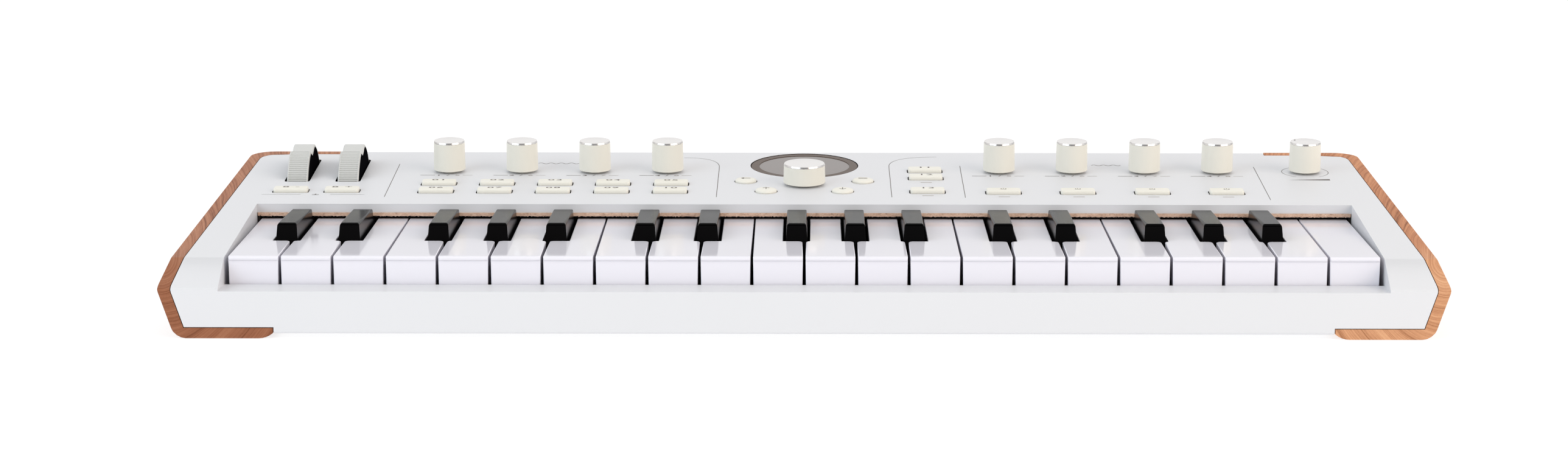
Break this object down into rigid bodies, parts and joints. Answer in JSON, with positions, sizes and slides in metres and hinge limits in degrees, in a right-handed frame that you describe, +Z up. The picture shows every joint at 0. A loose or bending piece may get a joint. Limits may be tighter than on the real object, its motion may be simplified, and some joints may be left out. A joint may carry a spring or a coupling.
{
  "type": "synthesizer",
  "caption": "Compact keyboard synthesizer with hinged slim keys, a tilted panel of turning knobs, sprung buttons, two wheels and a round display, and wrapped wooden end cheeks.",
  "frame": {"origin": "middle of the underside, on the surface that the cheeks rest on", "axes": "+X along the keyboard from the low keys to the high ones, +Y to the back, +Z up"},
  "size_m": [0.5268, 0.214, 0.0575],
  "materials": {
    "white_plastic": "satin moulded plastic",
    "key_white": "polished",
    "key_black": "polished",
    "cream_plastic": "satin",
    "button_plastic": "satin",
    "wood": "oiled veneer",
    "dark_plastic": "matt",
    "wheel_grey": "satin",
    "display_glass": "polished",
    "circuit_board": "satin",
    "knob_cap": "turned and polished",
    "felt": "brushed felt",
    "print_ink": "printed",
    "rubber_dark": "matt",
    "socket_metal": "plated"
  },
  "bodies": {
    "case": {"top_case": "white_plastic", "bottom_case": "white_plastic", "cheek_left": "wood", "cheek_right": "wood", "key_frame": "dark_plastic", "display": "display_glass", "panel_board": "circuit_board"},
    "pitch_wheel": {"pitch_wheel": "wheel_grey"},
    "modulation_wheel": {"modulation_wheel": "wheel_grey"},
    "octave_buttons": {"octave_buttons": "button_plastic"},
    "preset_buttons": {"preset_buttons": "button_plastic"},
    "navigation_buttons": {"navigation_buttons": "button_plastic"},
    "function_buttons": {"function_buttons": "button_plastic"},
    "master_knob": {"master_knob": "cream_plastic"},
    "display_dial": {"display_dial": "cream_plastic"},
    "instrument_knob_1": {"instrument_knob_1": "cream_plastic"},
    "instrument_knob_2": {"instrument_knob_2": "cream_plastic"},
    "instrument_knob_3": {"instrument_knob_3": "cream_plastic"},
    "instrument_knob_4": {"instrument_knob_4": "cream_plastic"},
    "effect_knob_1": {"effect_knob_1": "cream_plastic"},
    "effect_knob_2": {"effect_knob_2": "cream_plastic"},
    "effect_knob_3": {"effect_knob_3": "cream_plastic"},
    "effect_knob_4": {"effect_knob_4": "cream_plastic"},
    "white_key_01": {"white_key_01": "key_white"},
    "black_key_01": {"black_key_01": "key_black"},
    "white_key_02": {"white_key_02": "key_white"},
    "black_key_02": {"black_key_02": "key_black"},
    "white_key_03": {"white_key_03": "key_white"},
    "white_key_04": {"white_key_04": "key_white"},
    "black_key_03": {"black_key_03": "key_black"},
    "white_key_05": {"white_key_05": "key_white"},
    "black_key_04": {"black_key_04": "key_black"},
    "white_key_06": {"white_key_06": "key_white"},
    "black_key_05": {"black_key_05": "key_black"},
    "white_key_07": {"white_key_07": "key_white"},
    "white_key_08": {"white_key_08": "key_white"},
    "black_key_06": {"black_key_06": "key_black"},
    "white_key_09": {"white_key_09": "key_white"},
    "black_key_07": {"black_key_07": "key_black"},
    "white_key_10": {"white_key_10": "key_white"},
    "white_key_11": {"white_key_11": "key_white"},
    "black_key_08": {"black_key_08": "key_black"},
    "white_key_12": {"white_key_12": "key_white"},
    "black_key_09": {"black_key_09": "key_black"},
    "white_key_13": {"white_key_13": "key_white"},
    "black_key_10": {"black_key_10": "key_black"},
    "white_key_14": {"white_key_14": "key_white"},
    "white_key_15": {"white_key_15": "key_white"},
    "black_key_11": {"black_key_11": "key_black"},
    "white_key_16": {"white_key_16": "key_white"},
    "black_key_12": {"black_key_12": "key_black"},
    "white_key_17": {"white_key_17": "key_white"},
    "white_key_18": {"white_key_18": "key_white"},
    "black_key_13": {"black_key_13": "key_black"},
    "white_key_19": {"white_key_19": "key_white"},
    "black_key_14": {"black_key_14": "key_black"},
    "white_key_20": {"white_key_20": "key_white"},
    "black_key_15": {"black_key_15": "key_black"},
    "white_key_21": {"white_key_21": "key_white"},
    "white_key_22": {"white_key_22": "key_white"}
  },
  "joints": [
    {"name": "pitch_wheel_turn", "type": "hinge", "parent": "case", "child": "pitch_wheel", "pos_m": [-0.2271, 0.06934, 0.03069], "axis": [1, 0, 0], "range_deg": [-32, 32], "stiffness_Nm_per_rad": 0.15},
    {"name": "modulation_wheel_turn", "type": "hinge", "parent": "case", "child": "modulation_wheel", "pos_m": [-0.2044, 0.06934, 0.03069], "axis": [1, 0, 0], "range_deg": [-32, 32]},
    {"name": "octave_buttons_press", "type": "slide", "parent": "case", "child": "octave_buttons", "axis": [0, 0.078, -0.997], "range_m": [0, 0.0008], "stiffness_N_per_m": 400, "springref_m": -0.0012},
    {"name": "preset_buttons_press", "type": "slide", "parent": "case", "child": "preset_buttons", "axis": [0, 0.078, -0.997], "range_m": [0, 0.0008], "stiffness_N_per_m": 400, "springref_m": -0.0012},
    {"name": "navigation_buttons_press", "type": "slide", "parent": "case", "child": "navigation_buttons", "axis": [0, 0.078, -0.997], "range_m": [0, 0.0008], "stiffness_N_per_m": 400, "springref_m": -0.0012},
    {"name": "function_buttons_press", "type": "slide", "parent": "case", "child": "function_buttons", "axis": [0, 0.078, -0.997], "range_m": [0, 0.0008], "stiffness_N_per_m": 400, "springref_m": -0.0012},
    {"name": "master_knob_turn", "type": "hinge", "parent": "case", "child": "master_knob", "pos_m": [0.2265, 0.06721, 0.04256], "axis": [0, -0.078, 0.997], "range_deg": [-150, 150]},
    {"name": "display_dial_turn", "type": "hinge", "parent": "case", "child": "display_dial", "pos_m": [0, 0.04248, 0.04062], "axis": [0, -0.078, 0.997], "continuous": true},
    {"name": "instrument_knob_1_turn", "type": "hinge", "parent": "case", "child": "instrument_knob_1", "pos_m": [-0.16055, 0.06721, 0.04256], "axis": [0, -0.078, 0.997], "continuous": true},
    {"name": "instrument_knob_2_turn", "type": "hinge", "parent": "case", "child": "instrument_knob_2", "pos_m": [-0.12765, 0.06721, 0.04256], "axis": [0, -0.078, 0.997], "continuous": true},
    {"name": "instrument_knob_3_turn", "type": "hinge", "parent": "case", "child": "instrument_knob_3", "pos_m": [-0.09475, 0.06721, 0.04256], "axis": [0, -0.078, 0.997], "continuous": true},
    {"name": "instrument_knob_4_turn", "type": "hinge", "parent": "case", "child": "instrument_knob_4", "pos_m": [-0.06185, 0.06721, 0.04256], "axis": [0, -0.078, 0.997], "continuous": true},
    {"name": "effect_knob_1_turn", "type": "hinge", "parent": "case", "child": "effect_knob_1", "pos_m": [0.08805, 0.06721, 0.04256], "axis": [0, -0.078, 0.997], "continuous": true},
    {"name": "effect_knob_2_turn", "type": "hinge", "parent": "case", "child": "effect_knob_2", "pos_m": [0.12095, 0.06721, 0.04256], "axis": [0, -0.078, 0.997], "continuous": true},
    {"name": "effect_knob_3_turn", "type": "hinge", "parent": "case", "child": "effect_knob_3", "pos_m": [0.15385, 0.06721, 0.04256], "axis": [0, -0.078, 0.997], "continuous": true},
    {"name": "effect_knob_4_turn", "type": "hinge", "parent": "case", "child": "effect_knob_4", "pos_m": [0.18675, 0.06721, 0.04256], "axis": [0, -0.078, 0.997], "continuous": true},
    {"name": "white_key_01_press", "type": "hinge", "parent": "case", "child": "white_key_01", "pos_m": [-0.22659, 0.035, 0.022], "axis": [1, 0, 0], "range_deg": [0, 3.6], "stiffness_Nm_per_rad": 0.4, "springref_deg": -9.17},
    {"name": "black_key_01_press", "type": "hinge", "parent": "case", "child": "black_key_01", "pos_m": [-0.2182, 0.035, 0.022], "axis": [1, 0, 0], "range_deg": [0, 3.6], "stiffness_Nm_per_rad": 0.4, "springref_deg": -9.17},
    {"name": "white_key_02_press", "type": "hinge", "parent": "case", "child": "white_key_02", "pos_m": [-0.20501, 0.035, 0.022], "axis": [1, 0, 0], "range_deg": [0, 3.6], "stiffness_Nm_per_rad": 0.4, "springref_deg": -9.17},
    {"name": "black_key_02_press", "type": "hinge", "parent": "case", "child": "black_key_02", "pos_m": [-0.19182, 0.035, 0.022], "axis": [1, 0, 0], "range_deg": [0, 3.6], "stiffness_Nm_per_rad": 0.4, "springref_deg": -9.17},
    {"name": "white_key_03_press", "type": "hinge", "parent": "case", "child": "white_key_03", "pos_m": [-0.18343, 0.035, 0.022], "axis": [1, 0, 0], "range_deg": [0, 3.6], "stiffness_Nm_per_rad": 0.4, "springref_deg": -9.17},
    {"name": "white_key_04_press", "type": "hinge", "parent": "case", "child": "white_key_04", "pos_m": [-0.16185, 0.035, 0.022], "axis": [1, 0, 0], "range_deg": [0, 3.6], "stiffness_Nm_per_rad": 0.4, "springref_deg": -9.17},
    {"name": "black_key_03_press", "type": "hinge", "parent": "case", "child": "black_key_03", "pos_m": [-0.15426, 0.035, 0.022], "axis": [1, 0, 0], "range_deg": [0, 3.6], "stiffness_Nm_per_rad": 0.4, "springref_deg": -9.17},
    {"name": "white_key_05_press", "type": "hinge", "parent": "case", "child": "white_key_05", "pos_m": [-0.14027, 0.035, 0.022], "axis": [1, 0, 0], "range_deg": [0, 3.6], "stiffness_Nm_per_rad": 0.4, "springref_deg": -9.17},
    {"name": "black_key_04_press", "type": "hinge", "parent": "case", "child": "black_key_04", "pos_m": [-0.12948, 0.035, 0.022], "axis": [1, 0, 0], "range_deg": [0, 3.6], "stiffness_Nm_per_rad": 0.4, "springref_deg": -9.17},
    {"name": "white_key_06_press", "type": "hinge", "parent": "case", "child": "white_key_06", "pos_m": [-0.11869, 0.035, 0.022], "axis": [1, 0, 0], "range_deg": [0, 3.6], "stiffness_Nm_per_rad": 0.4, "springref_deg": -9.17},
    {"name": "black_key_05_press", "type": "hinge", "parent": "case", "child": "black_key_05", "pos_m": [-0.1047, 0.035, 0.022], "axis": [1, 0, 0], "range_deg": [0, 3.6], "stiffness_Nm_per_rad": 0.4, "springref_deg": -9.17},
    {"name": "white_key_07_press", "type": "hinge", "parent": "case", "child": "white_key_07", "pos_m": [-0.09711, 0.035, 0.022], "axis": [1, 0, 0], "range_deg": [0, 3.6], "stiffness_Nm_per_rad": 0.4, "springref_deg": -9.17},
    {"name": "white_key_08_press", "type": "hinge", "parent": "case", "child": "white_key_08", "pos_m": [-0.07553, 0.035, 0.022], "axis": [1, 0, 0], "range_deg": [0, 3.6], "stiffness_Nm_per_rad": 0.4, "springref_deg": -9.17},
    {"name": "black_key_06_press", "type": "hinge", "parent": "case", "child": "black_key_06", "pos_m": [-0.06714, 0.035, 0.022], "axis": [1, 0, 0], "range_deg": [0, 3.6], "stiffness_Nm_per_rad": 0.4, "springref_deg": -9.17},
    {"name": "white_key_09_press", "type": "hinge", "parent": "case", "child": "white_key_09", "pos_m": [-0.05395, 0.035, 0.022], "axis": [1, 0, 0], "range_deg": [0, 3.6], "stiffness_Nm_per_rad": 0.4, "springref_deg": -9.17},
    {"name": "black_key_07_press", "type": "hinge", "parent": "case", "child": "black_key_07", "pos_m": [-0.04076, 0.035, 0.022], "axis": [1, 0, 0], "range_deg": [0, 3.6], "stiffness_Nm_per_rad": 0.4, "springref_deg": -9.17},
    {"name": "white_key_10_press", "type": "hinge", "parent": "case", "child": "white_key_10", "pos_m": [-0.03237, 0.035, 0.022], "axis": [1, 0, 0], "range_deg": [0, 3.6], "stiffness_Nm_per_rad": 0.4, "springref_deg": -9.17},
    {"name": "white_key_11_press", "type": "hinge", "parent": "case", "child": "white_key_11", "pos_m": [-0.01079, 0.035, 0.022], "axis": [1, 0, 0], "range_deg": [0, 3.6], "stiffness_Nm_per_rad": 0.4, "springref_deg": -9.17},
    {"name": "black_key_08_press", "type": "hinge", "parent": "case", "child": "black_key_08", "pos_m": [-0.0032, 0.035, 0.022], "axis": [1, 0, 0], "range_deg": [0, 3.6], "stiffness_Nm_per_rad": 0.4, "springref_deg": -9.17},
    {"name": "white_key_12_press", "type": "hinge", "parent": "case", "child": "white_key_12", "pos_m": [0.01079, 0.035, 0.022], "axis": [1, 0, 0], "range_deg": [0, 3.6], "stiffness_Nm_per_rad": 0.4, "springref_deg": -9.17},
    {"name": "black_key_09_press", "type": "hinge", "parent": "case", "child": "black_key_09", "pos_m": [0.02158, 0.035, 0.022], "axis": [1, 0, 0], "range_deg": [0, 3.6], "stiffness_Nm_per_rad": 0.4, "springref_deg": -9.17},
    {"name": "white_key_13_press", "type": "hinge", "parent": "case", "child": "white_key_13", "pos_m": [0.03237, 0.035, 0.022], "axis": [1, 0, 0], "range_deg": [0, 3.6], "stiffness_Nm_per_rad": 0.4, "springref_deg": -9.17},
    {"name": "black_key_10_press", "type": "hinge", "parent": "case", "child": "black_key_10", "pos_m": [0.04636, 0.035, 0.022], "axis": [1, 0, 0], "range_deg": [0, 3.6], "stiffness_Nm_per_rad": 0.4, "springref_deg": -9.17},
    {"name": "white_key_14_press", "type": "hinge", "parent": "case", "child": "white_key_14", "pos_m": [0.05395, 0.035, 0.022], "axis": [1, 0, 0], "range_deg": [0, 3.6], "stiffness_Nm_per_rad": 0.4, "springref_deg": -9.17},
    {"name": "white_key_15_press", "type": "hinge", "parent": "case", "child": "white_key_15", "pos_m": [0.07553, 0.035, 0.022], "axis": [1, 0, 0], "range_deg": [0, 3.6], "stiffness_Nm_per_rad": 0.4, "springref_deg": -9.17},
    {"name": "black_key_11_press", "type": "hinge", "parent": "case", "child": "black_key_11", "pos_m": [0.08392, 0.035, 0.022], "axis": [1, 0, 0], "range_deg": [0, 3.6], "stiffness_Nm_per_rad": 0.4, "springref_deg": -9.17},
    {"name": "white_key_16_press", "type": "hinge", "parent": "case", "child": "white_key_16", "pos_m": [0.09711, 0.035, 0.022], "axis": [1, 0, 0], "range_deg": [0, 3.6], "stiffness_Nm_per_rad": 0.4, "springref_deg": -9.17},
    {"name": "black_key_12_press", "type": "hinge", "parent": "case", "child": "black_key_12", "pos_m": [0.1103, 0.035, 0.022], "axis": [1, 0, 0], "range_deg": [0, 3.6], "stiffness_Nm_per_rad": 0.4, "springref_deg": -9.17},
    {"name": "white_key_17_press", "type": "hinge", "parent": "case", "child": "white_key_17", "pos_m": [0.11869, 0.035, 0.022], "axis": [1, 0, 0], "range_deg": [0, 3.6], "stiffness_Nm_per_rad": 0.4, "springref_deg": -9.17},
    {"name": "white_key_18_press", "type": "hinge", "parent": "case", "child": "white_key_18", "pos_m": [0.14027, 0.035, 0.022], "axis": [1, 0, 0], "range_deg": [0, 3.6], "stiffness_Nm_per_rad": 0.4, "springref_deg": -9.17},
    {"name": "black_key_13_press", "type": "hinge", "parent": "case", "child": "black_key_13", "pos_m": [0.14786, 0.035, 0.022], "axis": [1, 0, 0], "range_deg": [0, 3.6], "stiffness_Nm_per_rad": 0.4, "springref_deg": -9.17},
    {"name": "white_key_19_press", "type": "hinge", "parent": "case", "child": "white_key_19", "pos_m": [0.16185, 0.035, 0.022], "axis": [1, 0, 0], "range_deg": [0, 3.6], "stiffness_Nm_per_rad": 0.4, "springref_deg": -9.17},
    {"name": "black_key_14_press", "type": "hinge", "parent": "case", "child": "black_key_14", "pos_m": [0.17264, 0.035, 0.022], "axis": [1, 0, 0], "range_deg": [0, 3.6], "stiffness_Nm_per_rad": 0.4, "springref_deg": -9.17},
    {"name": "white_key_20_press", "type": "hinge", "parent": "case", "child": "white_key_20", "pos_m": [0.18343, 0.035, 0.022], "axis": [1, 0, 0], "range_deg": [0, 3.6], "stiffness_Nm_per_rad": 0.4, "springref_deg": -9.17},
    {"name": "black_key_15_press", "type": "hinge", "parent": "case", "child": "black_key_15", "pos_m": [0.19742, 0.035, 0.022], "axis": [1, 0, 0], "range_deg": [0, 3.6], "stiffness_Nm_per_rad": 0.4, "springref_deg": -9.17},
    {"name": "white_key_21_press", "type": "hinge", "parent": "case", "child": "white_key_21", "pos_m": [0.20501, 0.035, 0.022], "axis": [1, 0, 0], "range_deg": [0, 3.6], "stiffness_Nm_per_rad": 0.4, "springref_deg": -9.17},
    {"name": "white_key_22_press", "type": "hinge", "parent": "case", "child": "white_key_22", "pos_m": [0.22659, 0.035, 0.022], "axis": [1, 0, 0], "range_deg": [0, 3.6], "stiffness_Nm_per_rad": 0.4, "springref_deg": -9.17}
  ]
}
